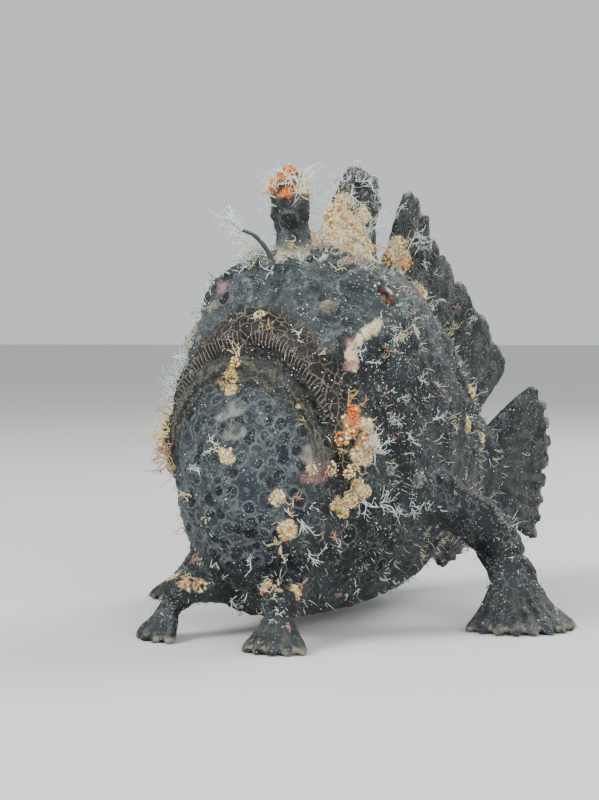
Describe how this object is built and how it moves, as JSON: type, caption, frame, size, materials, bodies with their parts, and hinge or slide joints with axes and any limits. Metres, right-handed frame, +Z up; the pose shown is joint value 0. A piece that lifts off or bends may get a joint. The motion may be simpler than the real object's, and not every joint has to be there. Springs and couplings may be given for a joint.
{
  "type": "frogfish model",
  "caption": "Life-size still model of a dark painted frogfish propped on its limb-like fins, with a lure over the wide upturned mouth, warty skin and small tufts.",
  "frame": {"origin": "on the floor, under the middle of the whole fish's bounding box", "axes": "+Y from snout to tail, +X to the fish's own left, +Z up from the floor"},
  "size_m": [0.1318, 0.1676, 0.1234],
  "materials": {
    "skin": "damp matt blue-black warty fish skin with fine pale specks",
    "chin_skin": "damp matt slate skin with ringed dark spots and a pale network",
    "fin_skin": "damp matt dark fin membrane over raised rays, with paler ray tips",
    "spine_skin": "matt cream and charcoal growth-covered skin with orange tips",
    "lure_flesh": "soft pale grey-green flesh, slightly see-through at the tips",
    "eye": "wet glossy eye, rust-coloured with radiating dark dots round a small dark pupil"
  },
  "bodies": {
    "root": {"head": "skin", "lower_jaw": "chin_skin", "torso": "skin", "tail_base": "skin", "illicium": "lure_flesh", "esca": "lure_flesh", "second_dorsal_spine": "spine_skin", "third_dorsal_spine": "spine_skin", "dorsal_fin": "fin_skin", "caudal_fin": "fin_skin", "anal_fin": "fin_skin", "pectoral_arm_left": "skin", "pectoral_arm_right": "skin", "pectoral_fin_left": "fin_skin", "pectoral_fin_right": "fin_skin", "pelvic_fin_left": "fin_skin", "pelvic_fin_right": "fin_skin", "eye_left": "eye", "eye_right": "eye"}
  },
  "joints": []
}
